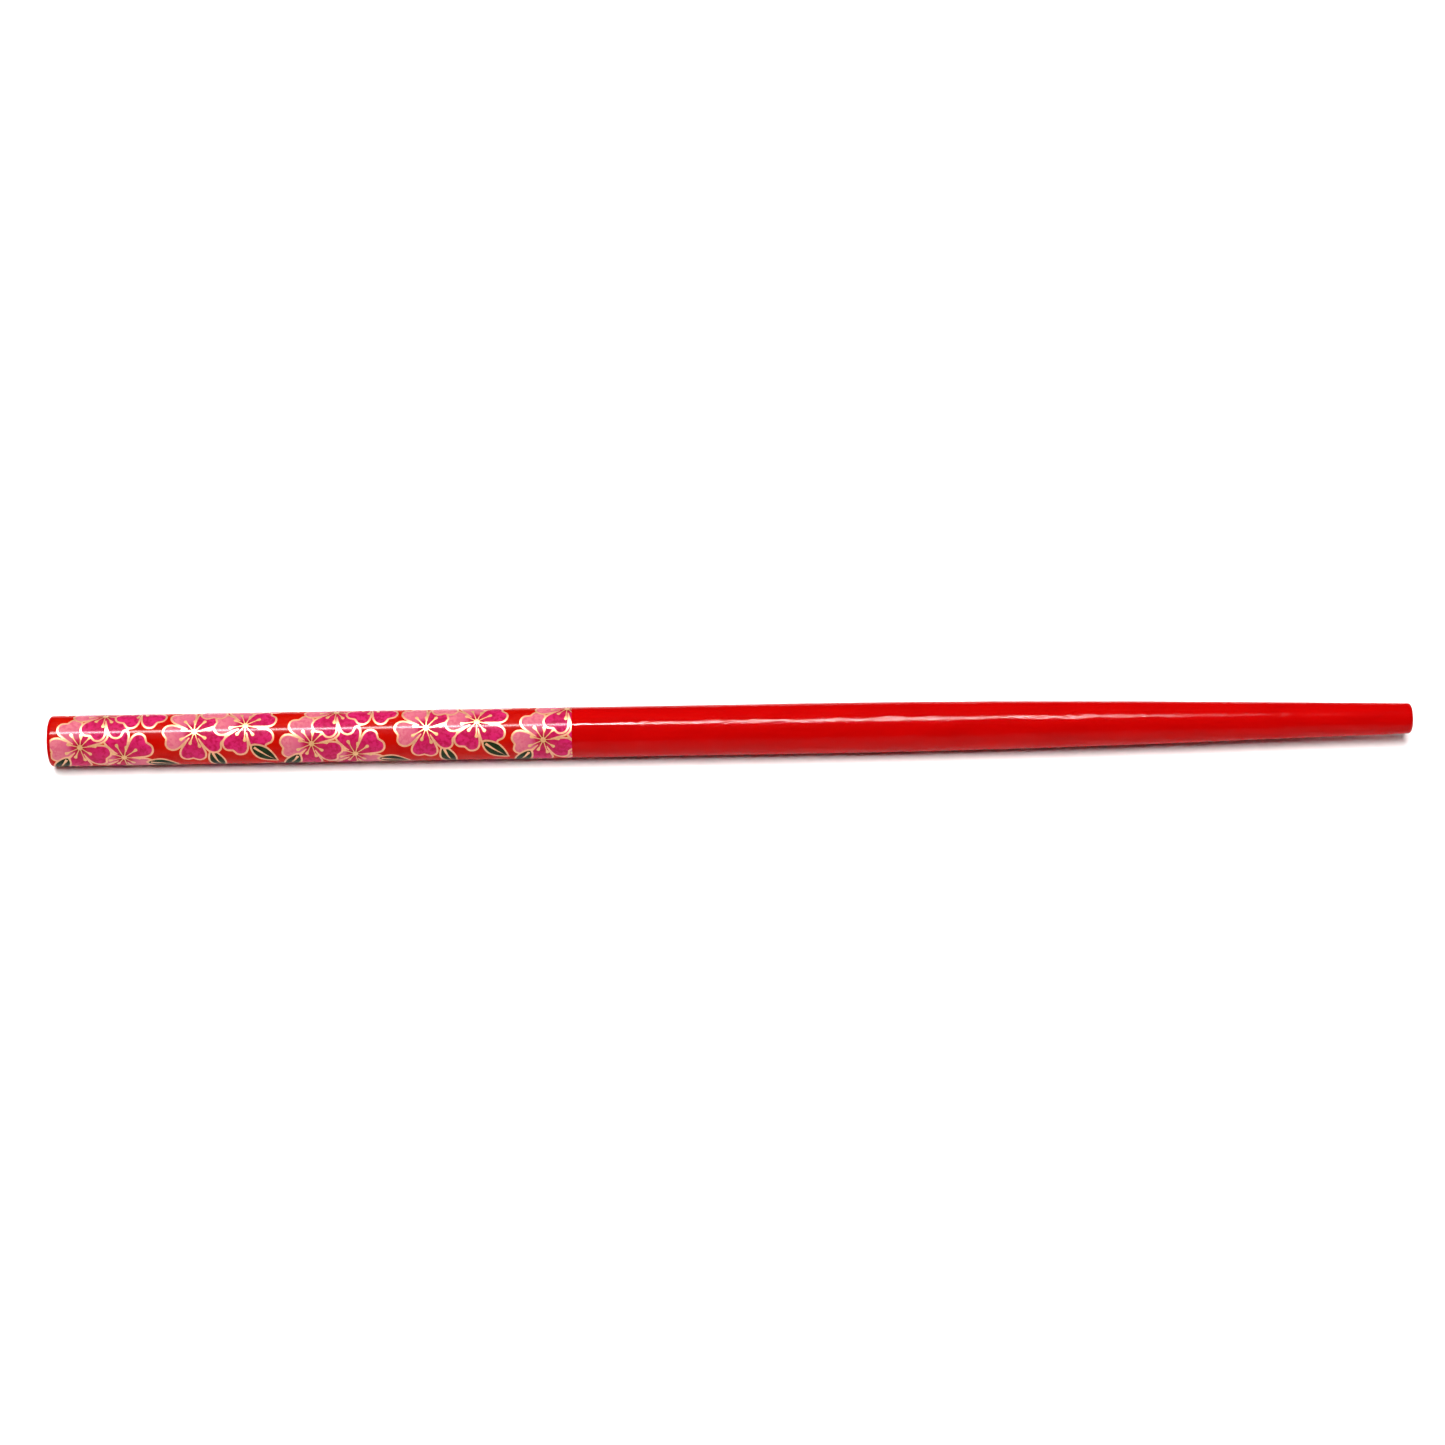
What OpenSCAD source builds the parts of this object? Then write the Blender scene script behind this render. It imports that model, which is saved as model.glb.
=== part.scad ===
// Decorative hair pin: a straight round hair stick of turned wood, dipped in red gloss
// lacquer, with a cherry-blossom transfer film wrapped round its thick end.
//
// The stick lies along X. The origin is on its axis, at the centre of the butt's end face,
// and +X points to the tip. Every layer is a solid of its own, face to face with the next.
// The print is drawn flat, as if the film were unrolled: a place on it is [x, v], where x
// runs along the stick and v runs round it, from the line at face_angle towards +Y.

/* [Stick] */
// Length from the butt's face to the tip's face
stick_len = 178; // [150:1:220]
// Diameter of the straight part
shaft_d = 6.65; // [6:0.05:8]
// Length of the straight part, measured from the butt
straight_len = 98; // [80:1:120]
// Length over which the side bends in, before it runs straight to the tip
bend_len = 51; // [30:1:55]
// Diameter of the tip just before its rounded edge
tip_d = 4; // [3:0.1:5.5]
// Rounding of the edge at both ends
edge_r = 0.45; // [0.3:0.05:0.9]

/* [Lacquer] */
// Thickness of the lacquer over the wood
lacquer_t = 0.2; // [0.15:0.01:0.3]

/* [Transfer film] */
// Plain lacquer between the butt's face and the film
film_start = 0.5; // [0.5:0.1:3]
// Length of the film along the stick
film_len = 67.8; // [45:0.1:72]
// Thickness of each layer of the film, drawn thicker than the real few microns
layer_t = 0.02; // [0.02:0.005:0.025]
// Gap left where the film's two long edges meet at the back
seam_gap = 0.2; // [0.1:0.05:0.5]

/* [Print] */
// Angle round the stick, from +Y towards +Z, that the front of the print faces
face_angle = 135; // [0:5:355]
// Distance along the stick after which the print repeats
repeat_len = 30.1; // [28:0.1:34]
// Distance from a blossom's centre to its petals' tips
petal_reach = 4.2; // [3.4:0.1:4.3]
// Width of the gold line round each petal
line_w = 0.3; // [0.2:0.02:0.36]
// Width of the gold line round each leaf
leaf_line_w = 0.22; // [0.16:0.02:0.3]
// Distance from a blossom's centre to the ends of its stamens
stamen_reach = 2; // [1.2:0.1:2.2]
// Stamens in each blossom
stamen_count = 9; // [5:1:9]
// Length of a leaf
leaf_len = 4.8; // [3:0.1:5.4]
// Width of a leaf
leaf_w = 2.2; // [1.2:0.1:2.6]

/* [Hidden] */
$fn = 96;

shaft_r = shaft_d / 2;
tip_r = tip_d / 2;
film_end = film_start + film_len;

// The film is let into the lacquer, so that only its clear outer layer stands proud.
film_layers = 6;
film_seat_r = shaft_r - (film_layers - 1) * layer_t;

// Number of each layer in the film, counted outwards from its seat
backing_layer = 0;
leaf_layer = 1;
petal_layer = 2;
outline_layer = 3;
stamen_layer = 4;
clear_layer = 5;

// The taper's side is a parabola, tangent to the straight part, and then a straight line.
taper_len = stick_len - straight_len;
taper_bend = (shaft_r - tip_r) / (bend_len * (2 * taper_len - bend_len));
taper_steps = 20;
edge_steps = 6;

// Petals stop short of their neighbours, and blossoms of theirs, by half this gap each.
print_gap = 0.08;
// The blanks that the thin print layers are cut from start this far under the surface,
// deep enough for a petal that curves round the stick, and end this far above it.
blank_depth = 1.6;
blank_rise = 0.4;
half_space_size = 14;

// Blossoms in one repeat: place [x, v] and the direction of the first of five petals
blossoms = [
    [[10.0, -2.5], 35],
    [[4.4, -0.9], 44],
    [[7.5, 3.9], 26],
    [[12.2, 5.4], 18],
    [[19.3, 0.9], 49],
    [[25.9, 1.7], 28],
    [[21.7, 6.9], 54],
    [[28.2, 7.9], 20],
    [[16.1, 9.4], 44],
    [[5.6, 9.9], 30],
    [[3.3, -8.9], 60],
    [[10.2, -8.9], 40],
    [[16.3, -8.7], 15],
    [[22.5, -8.8], 50],
    [[28.4, -8.6], 35]
];
// Which of a blossom's five petals are pale, one row for each blossom above
pale_petals = [
    [2, 4], [1, 2], [1, 2], [0, 1], [1, 2],
    [1, 2], [0, 3], [2], [1, 3], [0, 2],
    [2, 3], [0, 4], [1, 2], [3], [2, 4]
];
// Leaves in one repeat: place [x, v] of the stem end and direction
leaves = [
    [[2.9, -2.3], 249],
    [[12.9, -3.5], 350],
    [[21.6, -1.5], 288],
    [[26.6, -0.9], 325],
    [[31.1, 7.9], 293],
    [[10.7, 10.2], 265]
];
repeats = ceil(film_end / repeat_len);

// Half outline of a petal one unit long: distance from the blossom's centre, half width
petal_side = [[0.14, 0.06], [0.42, 0.29], [0.64, 0.41], [0.84, 0.38], [0.98, 0.18]];
petal_notch = [0.88, 0];
// Length of a leaf's vein in leaf lengths, and its width in line widths
vein_share = 0.6;
// Half outline of a leaf one unit long and two units wide
leaf_side = [[0.04, 0.15], [0.25, 0.8], [0.5, 1], [0.75, 0.72], [1, 0]];

function layer_r(layer) = film_seat_r + layer * layer_t;
function taper_r(x) = let (far = max(0, x - straight_len), bent = min(far, bend_len))
    shaft_r - taper_bend * (bent * bent + 2 * bend_len * (far - bent));
function turned_angle(v) = face_angle - 90 - v / shaft_r * 180 / PI;
function along(place, angle, distance) = place + distance * [cos(angle), sin(angle)];
function on_shaft(place) = [
    place[0],
    -shaft_r * sin(turned_angle(place[1])),
    shaft_r * cos(turned_angle(place[1]))
];
// Both sides of an outline that is given as its half, with a last point on its axis
function mirrored(side, last) = concat(
    side, last,
    [for (i = [len(side) - 1:-1:0]) if (side[i][1] > 0) [side[i][0], -side[i][1]]]
);
// Every blossom on the film: place, direction, pale petals
all_blossoms = [
    for (k = [0:repeats - 1], i = [0:len(blossoms) - 1])
        let (place = blossoms[i][0] + [k * repeat_len, 0])
        if (place[0] - petal_reach < film_end) [place, blossoms[i][1], pale_petals[i]]
];
all_leaves = [
    for (k = [0:repeats - 1], leaf = leaves)
        if (leaf[0][0] + k * repeat_len < film_end) [leaf[0] + [k * repeat_len, 0], leaf[1]]
];

// Profile of a turned solid, as [distance along the axis, radius], inset evenly by t
function turned_profile(t) = let (r = edge_r - t / 2) concat(
    [for (i = [0:edge_steps]) let (a = 90 * i / edge_steps)
        [t + r * (1 - cos(a)), shaft_r - t - r * (1 - sin(a))]],
    [for (i = [0:taper_steps]) let (x = straight_len + bend_len * i / taper_steps)
        [x, taper_r(x) - t]],
    [for (i = [1:edge_steps]) let (a = 90 * i / edge_steps)
        [stick_len - t - r * (1 - sin(a)), taper_r(stick_len - t - r) - t - r * (1 - cos(a))]]
);

// Turns a profile of [x, radius] points round the X axis.
module turned(points) {
    rotate([0, 90, 0])
        rotate_extrude()
            polygon([for (p = points) [p[1], p[0]]]);
}

module tube(x0, x1, inner_r, outer_r) {
    turned([[x0, inner_r], [x1, inner_r], [x1, outer_r], [x0, outer_r]]);
}

// One layer of the film, open at the seam
module film_sleeve(layer) {
    difference() {
        tube(film_start, film_end, layer_r(layer), layer_r(layer + 1));
        rotate([face_angle + 90, 0, 0])
            translate([0, -seam_gap / 2, 0])
                cube([stick_len, seam_gap, shaft_d]);
    }
}

// Puts a flat outline on the print at a place, as a blank that passes through every layer.
module print_blank(place, angle) {
    translate([place[0], 0, 0])
        rotate([turned_angle(place[1]), 0, 0])
            rotate([0, 0, angle])
                translate([0, 0, shaft_r - blank_depth])
                    linear_extrude(blank_depth + blank_rise)
                        children();
}

// Cuts blanks down to one thin layer of the film.
module cut_to_layer(layer) {
    intersection() {
        film_sleeve(layer);
        union() children();
    }
}

// Half space beyond the line midway between a blossom and its neighbour
module beyond_midline(place, neighbour) {
    start = on_shaft(place);
    step = on_shaft(neighbour) - start;
    translate(start)
        rotate([0, atan2(norm([step[0], step[1]]), step[2]), atan2(step[1], step[0])])
            translate([-half_space_size / 2, -half_space_size / 2, (norm(step) - print_gap) / 2])
                cube(half_space_size);
}

// Trims a blossom's blanks where a neighbouring blossom crowds it.
module trimmed_to_neighbours(place) {
    turn_len = PI * shaft_d;
    difference() {
        union() children();
        for (other = all_blossoms, turn = [-1:1])
            let (neighbour = other[0] + [0, turn * turn_len])
                if (neighbour != place && norm(neighbour - place) < 2 * petal_reach)
                    beyond_midline(place, neighbour);
    }
}

// Outline of a petal about its middle, drawn in by shrink. Its narrow foot is drawn in less,
// so that its two sides never cross.
module petal_outline(shrink) {
    middle = petal_reach / 2;
    foot_share = 0.6;
    polygon([for (p = mirrored(petal_side, [petal_notch])) let (
        x = p[0] * petal_reach - middle,
        y = p[1] * petal_reach
    ) [x * (1 - shrink / middle), y - sign(y) * min(abs(y) * foot_share, shrink)]]);
}

module petal_blank(blossom, petal, hollow) {
    angle = blossom[1] + petal * 72;
    print_blank(along(blossom[0], angle, petal_reach / 2), angle)
        difference() {
            petal_outline(0);
            if (hollow) petal_outline(line_w);
        }
}

module leaf_outline(shrink) {
    polygon([for (p = mirrored(leaf_side, [])) [
        (p[0] - 0.5) * (leaf_len - 2 * shrink),
        p[1] * (leaf_w / 2 - shrink)
    ]]);
}

module leaf_vein() {
    square([leaf_len * vein_share, leaf_line_w * vein_share], center = true);
}

module leaf_blank(leaf, hollow) {
    print_blank(along(leaf[0], leaf[1], leaf_len / 2), leaf[1]) {
        difference() {
            leaf_outline(0);
            if (hollow) leaf_outline(leaf_line_w);
        }
        if (hollow) leaf_vein();
    }
}

module stamen_star() {
    neck = 0.09;
    head = 0.2;
    step = 360 / stamen_count;
    polygon([for (i = [0:stamen_count - 1], p = [
        [stamen_reach - 2 * head, -neck], [stamen_reach - head, -head], [stamen_reach, 0],
        [stamen_reach - head, head], [stamen_reach - 2 * head, neck],
        [neck / tan(step / 2), neck]
    ]) [p[0] * cos(i * step) - p[1] * sin(i * step), p[0] * sin(i * step) + p[1] * cos(i * step)]]);
}

module petals(pale) {
    cut_to_layer(petal_layer)
        for (blossom = all_blossoms)
            trimmed_to_neighbours(blossom[0])
                for (petal = [0:4])
                    if ((len(search(petal, blossom[2])) > 0) == pale)
                        petal_blank(blossom, petal, false);
}

module wood_core() {
    color("burlywood")
        turned(concat([[lacquer_t, 0]], turned_profile(lacquer_t), [[stick_len - lacquer_t, 0]]));
}

module red_lacquer() {
    core = turned_profile(lacquer_t);
    color([0.86, 0.05, 0.03])
        difference() {
            turned(concat(
                [[0, 0]], turned_profile(0), [[stick_len, 0], [stick_len - lacquer_t, 0]],
                [for (i = [len(core) - 1:-1:0]) core[i]], [[lacquer_t, 0]]
            ));
            tube(film_start, film_end, film_seat_r, shaft_d);
        }
}

module film_backing() {
    color([0.9, 0.13, 0.04])
        film_sleeve(backing_layer);
}

module leaf_print() {
    color([0.08, 0.2, 0.1])
        cut_to_layer(leaf_layer)
            for (leaf = all_leaves) leaf_blank(leaf, false);
}

module pale_petal_print() {
    color([1, 0.62, 0.62])
        petals(true);
}

module pink_petal_print() {
    color([0.88, 0.15, 0.43])
        petals(false);
}

module gold_outlines() {
    color([0.9, 0.72, 0.42])
        cut_to_layer(outline_layer) {
            for (blossom = all_blossoms)
                trimmed_to_neighbours(blossom[0])
                    for (petal = [0:4]) petal_blank(blossom, petal, true);
            for (leaf = all_leaves) leaf_blank(leaf, true);
        }
}

module gold_stamens() {
    color([0.95, 0.8, 0.5])
        cut_to_layer(stamen_layer)
            for (blossom = all_blossoms)
                print_blank(blossom[0], blossom[1])
                    stamen_star();
}

module clear_film() {
    color([1, 1, 1, 0.25])
        film_sleeve(clear_layer);
}

wood_core();
red_lacquer();
film_backing();
leaf_print();
pale_petal_print();
pink_petal_print();
gold_outlines();
gold_stamens();
clear_film();
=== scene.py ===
import math

import bpy
from mathutils import Matrix, Vector, geometry, noise


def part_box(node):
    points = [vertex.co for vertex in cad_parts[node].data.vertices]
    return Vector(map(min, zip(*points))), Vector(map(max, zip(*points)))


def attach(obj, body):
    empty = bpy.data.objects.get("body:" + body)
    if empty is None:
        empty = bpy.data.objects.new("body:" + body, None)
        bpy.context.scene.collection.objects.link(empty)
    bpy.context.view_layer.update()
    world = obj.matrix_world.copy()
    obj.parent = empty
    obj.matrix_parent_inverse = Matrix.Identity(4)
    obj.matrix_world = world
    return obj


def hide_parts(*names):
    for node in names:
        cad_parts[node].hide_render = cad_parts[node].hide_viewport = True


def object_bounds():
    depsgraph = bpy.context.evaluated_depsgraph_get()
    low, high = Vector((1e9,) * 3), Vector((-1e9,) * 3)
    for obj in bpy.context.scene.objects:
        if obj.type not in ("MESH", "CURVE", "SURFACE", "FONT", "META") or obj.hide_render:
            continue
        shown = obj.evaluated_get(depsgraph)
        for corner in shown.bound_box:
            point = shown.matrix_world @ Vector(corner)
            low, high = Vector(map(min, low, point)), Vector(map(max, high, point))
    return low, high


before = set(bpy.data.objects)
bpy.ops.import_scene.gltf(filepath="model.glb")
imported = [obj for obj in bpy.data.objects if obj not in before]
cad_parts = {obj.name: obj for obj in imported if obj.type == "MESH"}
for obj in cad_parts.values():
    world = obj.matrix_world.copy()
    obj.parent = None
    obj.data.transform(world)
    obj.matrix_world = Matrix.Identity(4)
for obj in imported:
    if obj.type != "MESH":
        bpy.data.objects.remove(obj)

cad_lo, cad_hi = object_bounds()

MM = 0.001

# ---------------------------------------------------------------- sizes, in millimetres

lacquer_lo, lacquer_hi = (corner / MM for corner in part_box("red_lacquer"))
core_lo, _ = (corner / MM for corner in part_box("wood_core"))
backing_lo, backing_hi = (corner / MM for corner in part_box("film_backing"))
_, clear_hi = (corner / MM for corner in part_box("clear_film"))

stick_len = lacquer_hi.x - lacquer_lo.x
shaft_r = lacquer_hi.z
lacquer_t = core_lo.x - lacquer_lo.x
film_start = backing_lo.x
film_end = backing_hi.x
film_r = clear_hi.z
# The film is even layers, and the topmost stands above the lacquer
film_layers = 6
film_t = film_layers * (film_r - shaft_r)
film_seat_r = film_r - film_t

# The same driving dimensions as the part's source has
straight_len = 98
bend_len = 51
tip_r = 2
edge_r = 0.45
seam_gap = 0.2

# How fast the bend pulls in, so that the taper ends at tip_r
taper_len = stick_len - straight_len
taper_bend = (shaft_r - tip_r) / (bend_len * (2 * taper_len - bend_len))

# Where the front line lies round the stick, from +Y over the top
front_angle = math.radians(135)
# Half the way round the stick, from the front line to the seam, and the film's edge beside it
half_turn = math.pi * shaft_r
film_edge = half_turn - seam_gap / 2

# ---------------------------------------------------------------- the print's layout

repeat_len = 30.1
petal_reach = 4.2
petal_count = 5
petal_half_angle = math.pi / petal_count
# Blossoms in one repeat: place (x, v), direction of the first petal, which petals are pale.
# A blossom lies over those before it.
BLOSSOMS = [
    ((10.0, -2.5), 35, (2, 4)),
    ((4.4, -0.9), 44, (1, 2)),
    ((7.5, 3.9), 26, (1, 2)),
    ((12.2, 5.4), 18, (0, 1)),
    ((19.3, 0.9), 49, (1, 2)),
    ((25.9, 1.7), 28, (1, 2)),
    ((21.7, 6.9), 54, (0, 3)),
    ((28.2, 7.9), 20, (2,)),
    ((16.1, 9.4), 44, (1, 3)),
    ((5.6, 9.9), 30, (0, 2)),
    ((3.3, -8.9), 60, (2, 3)),
    ((10.2, -8.9), 40, (0, 4)),
    ((16.3, -8.7), 15, (1, 2)),
    ((22.5, -8.8), 50, (3,)),
    ((28.4, -8.6), 35, (2, 4)),
]
# Leaves in one repeat: place (x, v) of the stem end and direction.
# Top leaves lie over the blossoms, the others under them.
TOP_LEAVES = [
    ((2.8, -2.2), 240),
    ((12.7, -3.5), 350),
    ((26.5, -0.9), 322),
]
LEAVES = [
    ((21.4, -1.4), 288),
    ((30.9, 8.4), 293),
    ((10.7, 10.2), 265),
]
# Rim of a petal one unit long, as (share of its half angle, distance from the centre)
PETAL_RIM = [(0.0, 0.92), (0.11, 0.95), (0.3, 1.0), (0.54, 0.985), (0.77, 0.9), (0.93, 0.76),
             (1.0, 0.62)]
# Half outline of a leaf one unit long and two units wide
LEAF_SIDE = [(0.0, 0.0), (0.08, 0.42), (0.28, 0.86), (0.5, 1.0), (0.76, 0.68), (1.0, 0.0)]

rim_line_w = 0.25
petal_line_w = 0.27
# Where the line between two petals fades out: distance from the centre, and half its width there
fade_r = 0.7
thin_w = 0.02
leaf_len = 4.5
leaf_w = 2.2
leaf_line_w = 0.24
# How much shorter than the leaf its ink is, in widths of the line: its points are sharp
leaf_ends = 2.6
vein_w = 0.36
# Half a vein's length, as a share of the leaf's
vein_share = 0.36
stamen_count = 9
stamen_reach = 2.2
short_stamen_share = 0.82
filament_w = 0.13
anther_r = 0.22
anther_half_sweep = math.radians(125)
# Where a filament widens into its anther, in anther radii from the anther's middle
neck_share = 2.2
# Radius of the gold dot in the middle of a blossom, and of the dark patch round it
dot_r = 0.36
heart_r = 1.0

# Pieces between two points of a smooth outline, and corners of the small discs and arcs
curve_steps = 4
heart_corners = 24
dot_corners = 14
anther_steps = 9
# Spacing of the grid that the flat print bends at, round the stick and along it
bend_step = 0.3
grid_step = 1.2
# Points of the print closer than this become one
weld = 1e-6


def smooth_line(points, steps):
    """A Catmull-Rom curve through points, with straight ends."""
    ends = [points[0]] + list(points) + [points[-1]]
    line = []
    for a, b, c, d in zip(ends, ends[1:], ends[2:], ends[3:]):
        a, b, c, d = Vector(a), Vector(b), Vector(c), Vector(d)
        for i in range(steps):
            t = i / steps
            line.append(
                0.5 * (2 * b + (c - a) * t + (2 * a - 5 * b + 4 * c - d) * t ** 2
                       + (3 * b - a - 3 * c + d) * t ** 3)
            )
    line.append(Vector(points[-1]))
    return line


def placed(outline, place, angle):
    """An outline turned by an angle in radians and moved to a place on the print."""
    turn = Matrix.Rotation(angle, 2)
    return [turn @ Vector(p) + Vector(place) for p in outline]


def petal_rim():
    """The outer edge of a petal that points along +x, from one side to the other."""
    half = smooth_line(PETAL_RIM, curve_steps)
    side = [(d * math.cos(s * petal_half_angle), d * math.sin(s * petal_half_angle))
            for s, d in half]
    rim = [Vector((x, -y)) for x, y in reversed(side[1:])] + [Vector(p) for p in side]
    return [p * petal_reach for p in rim]


def blossom_outline():
    """The rims of all five petals, end to end."""
    rim = petal_rim()[1:]
    return [Matrix.Rotation(2 * petal_half_angle * i, 2) @ p
            for i in range(petal_count) for p in rim]


def petal_inside():
    """What the gold line round a petal leaves of it. Between petals the line tapers inwards."""
    rim = petal_rim()
    across = Vector((math.sin(petal_half_angle), math.cos(petal_half_angle)))
    along = Vector((math.cos(petal_half_angle), -math.sin(petal_half_angle)))
    half_line = petal_line_w / 2
    line_start = along * fade_r + across * thin_w
    inside = [Vector((thin_w / math.sin(petal_half_angle), 0)), line_start]
    for before, point, after in zip([rim[0]] + rim, rim, rim[1:] + [rim[-1]]):
        run = (after - before).normalized()
        inner = point + Vector((-run.y, run.x)) * rim_line_w
        from_sides = min(inner.dot(across), inner.dot(Vector((across.x, -across.y))))
        if from_sides >= half_line:
            inside.append(inner)
    return inside + [Vector((line_start.x, -line_start.y))]


def leaf_outline(line_w):
    """A leaf that points along +x, centred, less a line of a given width round its edge."""
    length = leaf_len - leaf_ends * line_w
    half_w = leaf_w / 2 - line_w
    side = [((s - 0.5) * length, w * half_w) for s, w in smooth_line(LEAF_SIDE, curve_steps)]
    return [Vector((x, -y)) for x, y in side] + [Vector(p) for p in reversed(side[1:-1])]


def vein_outline():
    """A leaf's middle vein: a wedge that ends in a point."""
    half_len = leaf_len * vein_share
    return [Vector(p) for p in ((-half_len, -vein_w / 2), (half_len, 0), (-half_len, vein_w / 2))]


def disc(radius, corners):
    step = 2 * math.pi / corners
    return [radius * Vector((math.cos(i * step), math.sin(i * step))) for i in range(corners)]


def stamen_outline(reach):
    """A filament with a round anther at its end, pointing along +x."""
    foot = filament_w / 3
    neck = filament_w / 2
    middle = reach - anther_r
    head = []
    for i in range(anther_steps + 1):
        a = anther_half_sweep * (2 * i / anther_steps - 1)
        head.append(Vector((middle + anther_r * math.cos(a), anther_r * math.sin(a))))
    shank = middle - neck_share * anther_r
    return ([Vector((0, foot)), Vector((0, -foot)), Vector((shank, -neck))] + head
            + [Vector((shank, neck))])


def blossom_shapes(place, direction, pale):
    """A blossom's outlines from the lowest to the topmost, as (kind, outline, place, angle)."""
    angles = [math.radians(direction) + 2 * petal_half_angle * i for i in range(petal_count)]
    shapes = [("gold_outlines", blossom_outline(), place, angles[0])]
    for i, angle in enumerate(angles):
        kind = "pale_petal_print" if i in pale else "pink_petal_print"
        shapes.append((kind, petal_inside(), place, angle))
    shapes.append(("pink_petal_print", disc(heart_r, heart_corners), place, angles[0]))
    for i in range(stamen_count):
        reach = stamen_reach * (short_stamen_share if i % 2 else 1)
        angle = math.radians(direction) + 2 * math.pi * i / stamen_count
        shapes.append(("gold_stamens", stamen_outline(reach), place, angle))
    shapes.append(("gold_stamens", disc(dot_r, dot_corners), place, 0))
    return shapes


def leaf_shapes(place, direction):
    """A leaf's outlines from the lowest to the topmost: its gold rim, its ink and its vein."""
    angle = math.radians(direction)
    middle = Vector(place) + leaf_len / 2 * Vector((math.cos(angle), math.sin(angle)))
    return [
        ("gold_outlines", leaf_outline(0), middle, angle),
        ("leaf_print", leaf_outline(leaf_line_w), middle, angle),
        ("gold_outlines", vein_outline(), middle, angle),
    ]


def on_film(place):
    """Whether a blossom or a leaf at a place can reach the film."""
    return (film_start - petal_reach < place.x < film_end + petal_reach
            and abs(place.y) < half_turn + petal_reach)


def repeated(place):
    """Every place on the film where the print repeats a place, and its wraps past the seam."""
    for k in range(-1, math.ceil(film_end / repeat_len)):
        for turn in (-1, 0, 1):
            spot = Vector(place) + Vector((k * repeat_len, turn * 2 * half_turn))
            if on_film(spot):
                yield spot


def film_corners():
    return [Vector(p) for p in ((film_start, -film_edge), (film_end, -film_edge),
                                (film_end, film_edge), (film_start, film_edge))]


def all_shapes():
    """Every outline on the film, from the lowest to the topmost."""
    shapes = [("film_ground", film_corners(), Vector((0, 0)), 0)]
    for place, direction in LEAVES:
        for spot in repeated(place):
            shapes += leaf_shapes(spot, direction)
    for place, direction, pale in BLOSSOMS:
        for spot in repeated(place):
            shapes += blossom_shapes(spot, direction, pale)
    for place, direction in TOP_LEAVES:
        for spot in repeated(place):
            shapes += leaf_shapes(spot, direction)
    return shapes


def grid_lines():
    """Lines along and across the film, where the flat print bends round the stick."""
    rows = round(2 * film_edge / bend_step)
    columns = round((film_end - film_start) / grid_step)
    lines = []
    for i in range(1, rows):
        v = -film_edge + 2 * film_edge * i / rows
        lines.append((Vector((film_start, v)), Vector((film_end, v))))
    for i in range(1, columns):
        x = film_start + (film_end - film_start) * i / columns
        lines.append((Vector((x, -film_edge)), Vector((x, film_edge))))
    return lines


def partition(shapes):
    """Cuts the film along every outline: (points, [(corner indices, topmost shape)])."""
    points, edges, faces = [], [], []
    for _, outline, place, angle in shapes:
        first = len(points)
        points += placed(outline, place, angle)
        faces.append(list(range(first, len(points))))
    for start, end in grid_lines():
        edges.append((len(points), len(points) + 1))
        points += [start, end]
    found = geometry.delaunay_2d_cdt(points, edges, faces, 0, weld, True)
    flat, triangles, origins = found[0], found[2], found[5]
    # Shape 0 is the film itself: what lies outside it is dropped
    kept = [(corners, max(origin)) for corners, origin in zip(triangles, origins)
            if 0 in origin]
    return flat, kept


def round_stick(v):
    """Direction away from the axis at a distance v round the stick from the front line."""
    angle = front_angle - v / shaft_r
    return Vector((0, math.cos(angle), math.sin(angle)))


def print_lid(flat, triangles, shapes, number):
    """Outer faces, and where each corner lies in its own shape, in petal lengths."""
    faces, places = [], []
    for corners, shape in triangles:
        first, second, third = (flat[i] for i in corners)
        if (second - first).cross(third - first) < 0:
            corners = list(reversed(corners))
        faces.append([number[i] for i in corners])
        _, _, place, angle = shapes[shape]
        back = Matrix.Rotation(-angle, 2)
        places += [back @ (flat[i] - place) / petal_reach for i in corners]
    return faces, places


def open_sides(faces):
    """The sides that belong to one face only, each as (start, end)."""
    sides = {}
    for face in faces:
        for start, end in zip(face, face[1:] + face[:1]):
            if (end, start) in sides:
                del sides[(end, start)]
            else:
                sides[(start, end)] = True
    return list(sides)


def thin_solid(name, flat, triangles, shapes):
    """A closed solid from the film's seat to its surface, over some triangles of the print."""
    used = sorted({i for corners, _ in triangles for i in corners})
    number = {old: new for new, old in enumerate(used)}
    count = len(used)
    outward = [round_stick(flat[i].y) for i in used]
    top = [Vector((flat[i].x, 0, 0)) + out * film_r for i, out in zip(used, outward)]
    bottom = [Vector((flat[i].x, 0, 0)) + out * film_seat_r for i, out in zip(used, outward)]
    lid, places = print_lid(flat, triangles, shapes, number)
    base = [[i + count for i in reversed(face)] for face in lid]
    normals = [outward[i] for face in lid for i in face]
    normals += [-outward[i - count] for face in base for i in face]
    walls = []
    for start, end in open_sides(lid):
        across = (top[end] - top[start]).cross(bottom[start] - top[start])
        walls.append((end, start, start + count, end + count))
        normals += [-across.normalized()] * 4
    places += [Vector((0, 0))] * (len(normals) - len(places))
    mesh = bpy.data.meshes.new(name)
    mesh.from_pydata([p * MM for p in top + bottom], [], lid + base + walls)
    layer = mesh.uv_layers.new(name="print_place")
    layer.data.foreach_set("uv", [c for place in places for c in place])
    mesh.polygons.foreach_set("use_smooth", [True] * len(mesh.polygons))
    mesh.normals_split_custom_set(normals)
    return add_object(name, mesh)


def add_object(name, mesh):
    piece = bpy.data.objects.new(name, mesh)
    bpy.context.collection.objects.link(piece)
    return piece


# ---------------------------------------------------------------- the lacquered stick

edge_steps = 8
outer_step = 0.3
outer_corners = 144
inner_steps = 30
inner_corners = 96
sharp_angle = math.radians(35)

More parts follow.
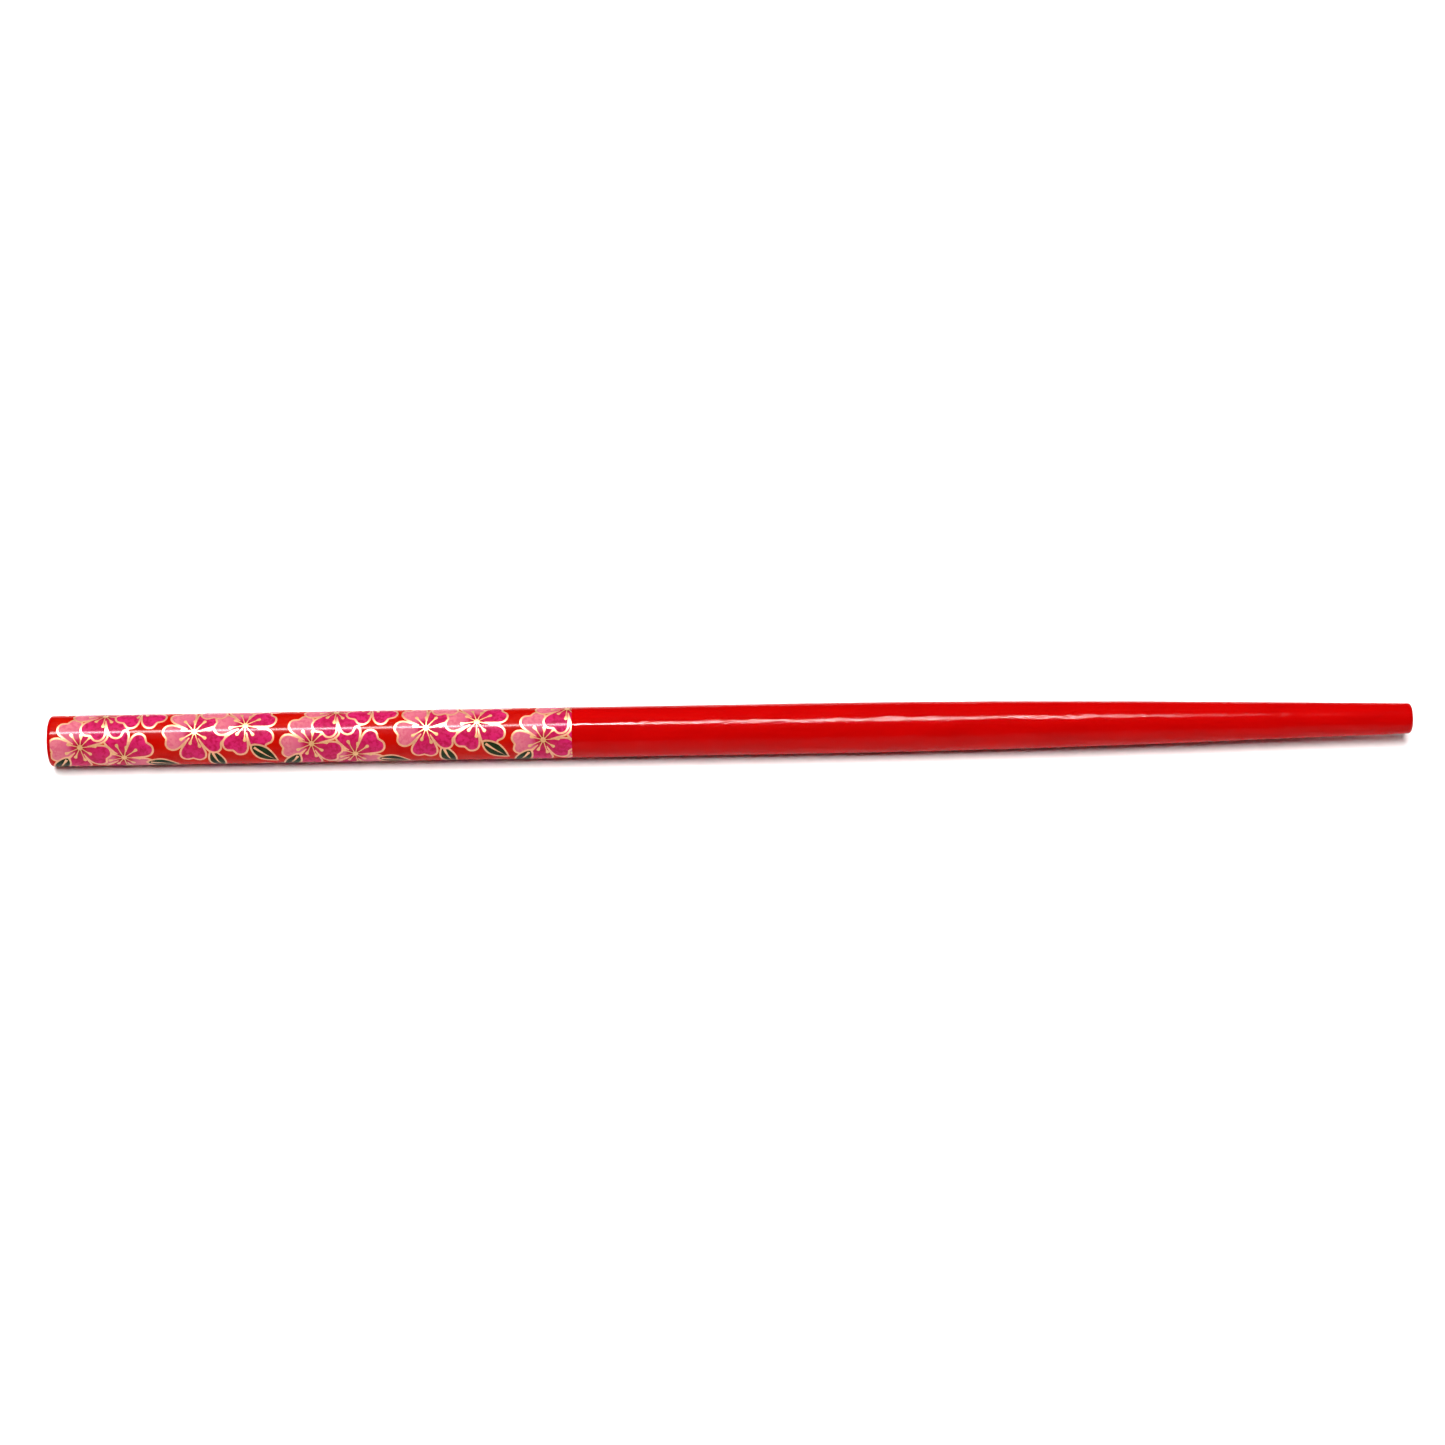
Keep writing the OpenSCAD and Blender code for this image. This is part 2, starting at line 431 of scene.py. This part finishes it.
# The brushed coat: long waves with fine ripples over them. Each has its length along the stick,
# a measure of how often it repeats round the stick, and its height.
wave_len = 5.5
wave_turns = 2.4
ripple_len = 1.7
ripple_turns = 4.5
# Keeps the ripples from following the waves
ripple_shift = 9
ripple_height = 0.011
# The waves' height where the coat has settled, beside the film, and what brushing adds to it
settled_wave = 0.002
brushed_wave = 0.016
# Where along the stick half of the brushing shows, and the length that it comes in over: half
# that length before there an eighth shows, and half that length past it all but an eighth
brushed_x = 82
brushed_spread = 12
brushed_steepness = 4
# The streaks in the gloss: where they come in along the stick, and how strong they are before
streaks_start = 74.0
streaks_full = 84.0
faint_streaks = 0.15
streak_height = 0.04


def turned_r(x):
    """The stick's radius at a distance x from the butt: straight, bending in, then a cone."""
    far = max(0, x - straight_len)
    bent = min(far, bend_len)
    return shaft_r - taper_bend * (bent ** 2 + 2 * bend_len * (far - bent))


def end_rings(t):
    """Rings of the two rounded ends, each as (x, radius), inset evenly by t."""
    r = edge_r - t / 2
    turns = [math.pi / 2 * i / edge_steps for i in range(edge_steps + 1)]
    butt = [(t + r * (1 - math.cos(a)), shaft_r - t - r * (1 - math.sin(a))) for a in turns]
    side_r = turned_r(stick_len - t - r) - t
    tip = [(stick_len - t - r * (1 - math.sin(a)), side_r - r * (1 - math.cos(a))) for a in turns]
    return butt, tip


def outer_rings():
    """Rings of the lacquer's outside, with the shallow seat that the film lies in."""
    butt, tip = end_rings(0)
    bare_len = tip[0][0] - film_end
    count = math.ceil(bare_len / outer_step)
    bare = [film_end + bare_len * i / count for i in range(count)]
    rings = [ring for ring in butt if ring[0] < film_start]
    rings += [(film_start, shaft_r), (film_start, film_seat_r), (film_end, film_seat_r)]
    return rings + [(x, turned_r(x)) for x in bare] + tip


def brushed_height(x, out):
    """How far the brushed lacquer stands above the true surface, in millimetres."""
    share = 1 / (1 + math.exp((brushed_x - x) / brushed_spread * brushed_steepness))
    wave = noise.noise(Vector((x / wave_len, out.y * wave_turns, out.z * wave_turns)))
    ripple = noise.noise(Vector((x / ripple_len, out.y * ripple_turns + ripple_shift,
                                 out.z * ripple_turns)))
    return (settled_wave + brushed_wave * share) * wave + ripple_height * share * ripple


def lathe(rings, corners, height=None):
    """Points and faces of a closed turned surface, with the two ends filled in."""
    points = [Vector((rings[0][0], 0, 0))]
    outs = []
    for i in range(corners):
        angle = 2 * math.pi * i / corners
        outs.append(Vector((0, math.cos(angle), math.sin(angle))))
    for x, r in rings:
        for out in outs:
            rise = height(x, out) if height and x > film_end else 0
            points.append(Vector((x, 0, 0)) + out * (r + rise))
    points.append(Vector((rings[-1][0], 0, 0)))
    faces = []
    last = len(points) - 1
    for i in range(corners):
        j = (i + 1) % corners
        faces.append((0, 1 + j, 1 + i))
        faces.append((last, last - corners + i, last - corners + j))
        for ring in range(len(rings) - 1):
            a = 1 + ring * corners
            faces.append((a + i, a + j, a + corners + j, a + corners + i))
    return points, faces


def lacquer_coat():
    """The lacquer's shell: the outside with its brushed surface, and the inside on the wood."""
    points, faces = lathe(outer_rings(), outer_corners, brushed_height)
    butt, tip = end_rings(lacquer_t)
    bend = tip[0][0] - straight_len
    middle = [straight_len + bend * i / inner_steps for i in range(inner_steps)]
    inner = butt + [(x, turned_r(x) - lacquer_t) for x in middle] + tip
    inner_points, inner_faces = lathe(inner, inner_corners)
    first = len(points)
    points += inner_points
    faces += [tuple(first + i for i in reversed(face)) for face in inner_faces]
    mesh = bpy.data.meshes.new("lacquer_coat")
    mesh.from_pydata([p * MM for p in points], [], faces)
    mesh.polygons.foreach_set("use_smooth", [True] * len(faces))
    mesh.set_sharp_from_angle(angle=sharp_angle)
    return add_object("lacquer_coat", mesh)


# ---------------------------------------------------------------- materials

# Inks, each as its colour near the heart, at the rim, and in the darker patches
PALE_INK = (0.41, 0.062, 0.125), (0.47, 0.115, 0.15), (0.43, 0.08, 0.125)
PINK_INK = (0.35, 0.009, 0.057), (0.42, 0.012, 0.085), (0.30, 0.005, 0.043)
# Foils, each as its bright and its worn colour
LINE_GOLD = (0.55, 0.27, 0.14), (0.47, 0.21, 0.105)
STAMEN_GOLD = (0.52, 0.29, 0.12), (0.45, 0.23, 0.085)
HEART_COLOUR = (0.22, 0.005, 0.016)
HEART_RIM_COLOUR = (0.34, 0.012, 0.05)

# Distances from a blossom's centre, in petal lengths: the end of the dark heart, its rim, where
# the petal's ink starts, and where it has reached its rim colour
heart_at = 0.1
heart_rim_at = 0.24
ink_at = 0.38
petal_rim_at = 0.72

coat_ior = 1.12
film_coat_roughness = 0.15
lacquer_coat_roughness = 0.06


class Paint:
    """A new material's node tree, with short calls to add and join its nodes."""

    def __init__(self, name):
        self.material = bpy.data.materials.new(name)
        self.material.use_nodes = True
        self.tree = self.material.node_tree
        self.shader = self.tree.nodes["Principled BSDF"]

    def node(self, kind, settings=None, **inputs):
        made = self.tree.nodes.new("ShaderNode" + kind)
        for key, value in (settings or {}).items():
            setattr(made, key, value)
        for key, value in inputs.items():
            self.feed(made, key, value)
        return made

    def feed(self, node, key, value):
        """Sets or links an input, named by its key, or by i and its number."""
        by_number = key[0] == "i" and key[1:].isdigit()
        socket = node.inputs[int(key[1:]) if by_number else key]
        if isinstance(value, bpy.types.NodeSocket):
            self.tree.links.new(value, socket)
        else:
            socket.default_value = value

    def set(self, **values):
        """Sets or links the shader's own inputs, with _ for the spaces in their names."""
        for key, value in values.items():
            self.feed(self.shader, key.replace("_", " "), value)

    def place(self, scale):
        """Object coordinates in millimetres, stretched by a scale for each axis."""
        where = self.node("TexCoord").outputs["Object"]
        return self.node("Mapping", Vector=where, Scale=[s / MM for s in scale]).outputs[0]

    def noise(self, scale, detail):
        return self.node("TexNoise", Vector=self.place(scale), Scale=1.0, Detail=detail).outputs[0]

    def ramp(self, share, stops):
        """The colour at a share between stops, each as (position, colour)."""
        made = self.node("ValToRGB", Fac=share)
        band = made.color_ramp
        while len(band.elements) < len(stops):
            band.elements.new(0.5)
        for element, (position, colour) in zip(band.elements, stops):
            element.position = position
            element.color = (*colour, 1)
        return made.outputs[0]

    def mix(self, share, first, colour):
        """A share of one colour mixed into the colour that another node gives."""
        made = self.node("Mix", {"data_type": "RGBA"}, i0=share, i6=first, i7=(*colour, 1))
        return made.outputs[2]

    def maths(self, operation, first, second):
        return self.node("Math", {"operation": operation}, i0=first, i1=second).outputs[0]

    def bump(self, height, distance):
        """Relief that is a distance in millimetres high."""
        return self.node("Bump", Height=height, Distance=distance * MM, Strength=1.0).outputs[0]


def glossy(paint, coat_roughness=film_coat_roughness):
    """A clear gloss layer over a matt ground colour."""
    paint.set(Specular_IOR_Level=0, Roughness=0.6, Coat_Weight=1, Coat_IOR=coat_ior,
              Coat_Roughness=coat_roughness)


def lacquer_paint():
    paint = Paint("red_lacquer_paint")
    glossy(paint, lacquer_coat_roughness)
    pools = paint.noise((0.12, 0.5, 0.5), 4.0)
    paint.set(Base_Color=paint.ramp(pools, [
        (0.3, (0.31, 0.0004, 0.0004)), (0.7, (0.36, 0.0007, 0.0007)),
    ]))
    streaks = paint.noise((1.0, 2.6, 2.6), 3.0)
    along = paint.node("SeparateXYZ", i0=paint.place((1, 1, 1))).outputs[0]
    brushed = paint.node("MapRange", Value=along, i1=streaks_start, i2=streaks_full,
                         i3=faint_streaks, i4=1.0).outputs[0]
    relief = paint.maths("MULTIPLY", streaks, brushed)
    paint.set(Coat_Normal=paint.bump(relief, streak_height))
    return paint.material


def ground_paint():
    paint = Paint("film_ground_paint")
    glossy(paint)
    pools = paint.noise((0.4, 0.7, 0.7), 3.0)
    paint.set(Base_Color=paint.ramp(pools, [
        (0.3, (0.32, 0.001, 0.0006)), (0.7, (0.37, 0.005, 0.0008)),
    ]))
    return paint.material


def petal_paint(name, inner, outer, dark):
    """Ink that runs from a blossom's dark heart to a lighter rim, with darker patches."""
    paint = Paint(name)
    glossy(paint)
    spot = paint.node("UVMap", {"uv_map": "print_place"}).outputs[0]
    distance = paint.node("VectorMath", {"operation": "LENGTH"}, i0=spot).outputs["Value"]
    wash = paint.ramp(distance, [
        (heart_at, HEART_COLOUR), (heart_rim_at, HEART_RIM_COLOUR),
        (ink_at, inner), (petal_rim_at, outer),
    ])
    mottle = paint.noise((2.2, 2.2, 2.2), 4.0)
    patches = paint.ramp(mottle, [(0.46, (0, 0, 0)), (0.6, (1, 1, 1))])
    away = paint.node("MapRange", Value=distance, i1=heart_rim_at, i2=ink_at).outputs[0]
    paint.set(Base_Color=paint.mix(paint.maths("MULTIPLY", patches, away), wash, dark))
    return paint.material


def leaf_paint():
    paint = Paint("leaf_paint")
    glossy(paint)
    mottle = paint.noise((1.6, 1.6, 1.6), 3.0)
    paint.set(Base_Color=paint.ramp(mottle, [
        (0.35, (0.003, 0.010, 0.002)), (0.7, (0.007, 0.024, 0.004)),
    ]))
    return paint.material


def gold_paint(name, bright, worn):
    """Grainy foil under the same clear gloss as the inks."""
    paint = Paint(name)
    paint.set(Metallic=0.45, Coat_Weight=1.0, Coat_IOR=coat_ior,
              Coat_Roughness=film_coat_roughness)
    grain = paint.noise((3.5, 3.5, 3.5), 4.0)
    paint.set(Base_Color=paint.ramp(grain, [(0.35, worn), (0.65, bright)]))
    rough = paint.node("MapRange", Value=grain, i3=0.5, i4=0.38).outputs[0]
    paint.set(Roughness=rough)
    paint.set(Normal=paint.bump(grain, 0.01))
    return paint.material


def wood_paint():
    """The core's wood, which the lacquer hides."""
    paint = Paint("wood_paint")
    grain = paint.node("TexWave", {"wave_type": "RINGS", "rings_direction": "X"},
                       Vector=paint.place((0.05, 0.6, 0.6)), Distortion=2.5, Detail=3.0)
    paint.set(Base_Color=paint.ramp(grain.outputs[0], [
        (0.2, (0.42, 0.24, 0.11)), (0.8, (0.62, 0.41, 0.21)),
    ]))
    paint.set(Roughness=0.6)
    paint.set(Normal=paint.bump(grain.outputs[0], 0.02))
    return paint.material


def coat(piece, paint):
    piece.data.materials.clear()
    piece.data.materials.append(paint)


# ---------------------------------------------------------------- the object

# Each kind of shape in the print: the CAD nodes it replaces, its slot and its paint
PRINT = {
    "film_ground": (("film_backing", "clear_film"), "film_red", ground_paint()),
    "leaf_print": (("leaf_print",), "leaf_green", leaf_paint()),
    "pale_petal_print": (("pale_petal_print",), "petal_pale",
                         petal_paint("pale_petal_paint", *PALE_INK)),
    "pink_petal_print": (("pink_petal_print",), "petal_pink",
                         petal_paint("pink_petal_paint", *PINK_INK)),
    "gold_outlines": (("gold_outlines",), "gold_foil",
                      gold_paint("gold_line_paint", *LINE_GOLD)),
    "gold_stamens": (("gold_stamens",), "gold_foil",
                     gold_paint("gold_stamen_paint", *STAMEN_GOLD)),
}


def build_print():
    """One thin solid for each kind of shape in the print."""
    shapes = all_shapes()
    flat, kept = partition(shapes)
    for kind, (nodes, slot, paint) in PRINT.items():
        chosen = [(corners, top) for corners, top in kept if shapes[top][0] == kind]
        piece = thin_solid(kind + "_film", flat, chosen, shapes)
        coat(piece, paint)
        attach(piece, "root")
        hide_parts(*nodes)


def build_stick():
    """The lacquer, over the CAD's own core."""
    piece = lacquer_coat()
    coat(piece, lacquer_paint())
    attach(piece, "root")
    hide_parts("red_lacquer")
    coat(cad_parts["wood_core"], wood_paint())


# ---------------------------------------------------------------- floor, lights, camera


def around(angle):
    """Direction at an angle from -Y, over the top, to +Y."""
    return Vector((0, -math.cos(angle), math.sin(angle)))


def build_floor():
    """A plain pale floor, which the stick lies on."""
    half = 4.0
    mesh = bpy.data.meshes.new("floor")
    corners = [(-half, -half), (half, -half), (half, half), (-half, half)]
    mesh.from_pydata([(x, y, cad_lo.z) for x, y in corners], [], [(0, 1, 2, 3)])
    floor = add_object("floor", mesh)
    paint = Paint("floor_paint")
    paint.set(Base_Color=(0.93, 0.93, 0.93, 1), Roughness=0.9, Specular_IOR_Level=0)
    coat(floor, paint.material)


def build_world():
    """A white backdrop for the camera, and a much weaker glow for all else."""
    world = bpy.data.worlds.new("studio")
    bpy.context.scene.world = world
    world.use_nodes = True
    tree = world.node_tree
    light = tree.nodes["Background"]
    backdrop = tree.nodes.new("ShaderNodeBackground")
    path = tree.nodes.new("ShaderNodeLightPath")
    mix = tree.nodes.new("ShaderNodeMixShader")
    light.inputs["Color"].default_value = (1, 1, 1, 1)
    light.inputs["Strength"].default_value = 0.06
    backdrop.inputs["Color"].default_value = (1, 1, 1, 1)
    backdrop.inputs["Strength"].default_value = 1.0
    tree.links.new(path.outputs["Is Camera Ray"], mix.inputs[0])
    tree.links.new(light.outputs[0], mix.inputs[1])
    tree.links.new(backdrop.outputs[0], mix.inputs[2])
    tree.links.new(mix.outputs[0], tree.nodes["World Output"].inputs["Surface"])


def build_strip(start, end, radiance):
    """A stretch of a narrow strip light over the stick. Only the gloss sees it."""
    height = 0.7
    width = 0.085
    angle = math.radians(82)
    light = bpy.data.lights.new("strip", "AREA")
    light.shape = "RECTANGLE"
    light.size = end - start
    light.size_y = width
    light.energy = radiance * math.pi * light.size * width
    holder = bpy.data.objects.new("strip", light)
    towards = around(angle)
    holder.location = Vector(((start + end) / 2, 0, 0)) + height * towards
    holder.rotation_euler = towards.to_track_quat("Z", "Y").to_euler()
    holder.visible_diffuse = False
    bpy.context.collection.objects.link(holder)


def build_sky(angle, softness, energy):
    """A broad soft light from far away, a little from the butt's side. The gloss doesn't see it."""
    sky = bpy.data.lights.new("sky", "SUN")
    sky.energy = energy
    sky.angle = math.radians(softness)
    holder = bpy.data.objects.new("sky", sky)
    lean = Vector((-0.1, 0, 0))
    towards = around(math.radians(angle)) + lean
    holder.rotation_euler = towards.to_track_quat("Z", "Y").to_euler()
    holder.visible_glossy = False
    bpy.context.collection.objects.link(holder)


def build_lights():
    """A strip light with a weaker stretch, which the tip reflects, and two soft lights."""
    build_strip(start=-0.22, end=0.23, radiance=240)
    build_strip(start=0.23, end=0.28, radiance=85)
    build_sky(angle=80, softness=58, energy=5.2)
    build_sky(angle=120, softness=40, energy=1.5)


def build_camera():
    """The photo's view: from the front and above, turned a little about the line of sight."""
    elevation = math.radians(45)
    distance = 0.45
    tilt = math.radians(0.97)
    # The picture's centre: along the stick, as a share of its length, and above its axis,
    # as a share of its radius
    along = 0.494
    above = 0.29
    data = bpy.data.cameras.new("camera")
    data.angle = math.radians(23.73)
    camera = bpy.data.objects.new("camera", data)
    back = around(elevation)
    up = Vector((0, math.sin(elevation), math.cos(elevation)))
    aim = Vector((along * stick_len * MM, 0, 0)) + up * above * shaft_r * MM
    look = back.to_track_quat("Z", "Y").to_matrix().to_4x4()
    camera.matrix_world = (Matrix.Translation(aim + back * distance) @ look
                           @ Matrix.Rotation(-tilt, 4, "Z"))
    bpy.context.collection.objects.link(camera)
    bpy.context.scene.camera = camera


build_stick()
build_print()
build_floor()
build_world()
build_lights()
build_camera()
bpy.context.scene.view_settings.view_transform = "Standard"
